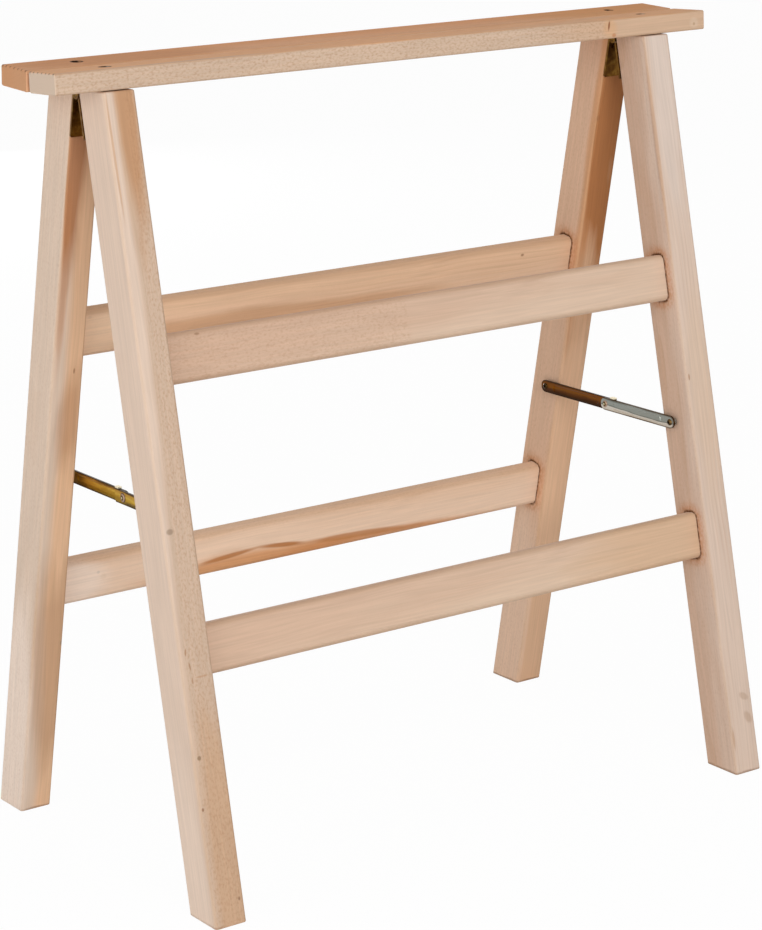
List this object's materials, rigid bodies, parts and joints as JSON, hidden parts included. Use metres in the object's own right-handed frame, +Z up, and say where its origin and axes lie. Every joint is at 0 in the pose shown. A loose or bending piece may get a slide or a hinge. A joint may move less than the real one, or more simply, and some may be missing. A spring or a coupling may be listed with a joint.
{
  "type": "folding trestle",
  "caption": "Wooden folding trestle: two splayed leg frames hinged under a split top rail, held open by jointed metal stays, to carry a table top or board.",
  "frame": {"origin": "on the floor, in the middle between the four feet", "axes": "+X along the top rails, +Y from the front frame to the back frame, +Z up"},
  "size_m": [0.75, 0.3948, 0.7499],
  "materials": {
    "beech": "planed and sanded, raw",
    "yellow_zinc": "pressed steel, yellow-passivated zinc, dull",
    "bright_zinc": "steel, bright zinc plate"
  },
  "bodies": {
    "back_frame": {"back_top_rail": "beech", "back_left_leg": "beech", "back_right_leg": "beech", "back_upper_cross_rail": "beech", "back_lower_cross_rail": "beech", "back_left_hinge_leaf": "yellow_zinc", "back_right_hinge_leaf": "yellow_zinc", "back_rail_screws": "bright_zinc", "back_hinge_screws": "yellow_zinc", "back_stay_screws": "bright_zinc", "back_stay_spacers": "bright_zinc", "left_hinge_pin": "yellow_zinc", "right_hinge_pin": "yellow_zinc"},
    "front_frame": {"front_top_rail": "beech", "front_left_leg": "beech", "front_right_leg": "beech", "front_upper_cross_rail": "beech", "front_lower_cross_rail": "beech", "front_left_hinge_leaf": "yellow_zinc", "front_right_hinge_leaf": "yellow_zinc", "front_rail_screws": "bright_zinc", "front_hinge_screws": "yellow_zinc", "front_stay_screws": "bright_zinc", "front_stay_spacers": "bright_zinc"},
    "left_back_link": {"back_left_stay_link": "yellow_zinc", "left_rivet_head": "bright_zinc"},
    "left_front_link": {"front_left_stay_link": "yellow_zinc", "left_rivet_tail": "bright_zinc"},
    "right_back_link": {"back_right_stay_link": "yellow_zinc", "right_rivet_tail": "bright_zinc"},
    "right_front_link": {"front_right_stay_link": "bright_zinc", "right_rivet_head": "bright_zinc"}
  },
  "joints": [
    {"name": "fold", "type": "hinge", "parent": "back_frame", "child": "front_frame", "pos_m": [0, 0, 0.72379], "axis": [1, 0, 0], "range_deg": [0, 23.2]},
    {"name": "left_back_link_pivot", "type": "hinge", "parent": "back_frame", "child": "left_back_link", "pos_m": [-0.29, 0.09928, 0.34706], "axis": [-1, 0, 0], "range_deg": [0, 65.9]},
    {"name": "left_front_link_pivot", "type": "hinge", "parent": "front_frame", "child": "left_front_link", "pos_m": [-0.29, -0.09928, 0.34706], "axis": [1, 0, 0], "range_deg": [0, 65.9]},
    {"name": "right_back_link_pivot", "type": "hinge", "parent": "back_frame", "child": "right_back_link", "pos_m": [0.29, 0.09928, 0.34706], "axis": [-1, 0, 0], "range_deg": [0, 65.9]},
    {"name": "right_front_link_pivot", "type": "hinge", "parent": "front_frame", "child": "right_front_link", "pos_m": [0.29, -0.09928, 0.34706], "axis": [1, 0, 0], "range_deg": [0, 65.9]}
  ],
  "couplings": [
    {"joint": "left_back_link_pivot", "follows": "fold", "ratio": 2.8402},
    {"joint": "left_front_link_pivot", "follows": "fold", "ratio": 2.8402},
    {"joint": "right_back_link_pivot", "follows": "fold", "ratio": 2.8402},
    {"joint": "right_front_link_pivot", "follows": "fold", "ratio": 2.8402}
  ]
}
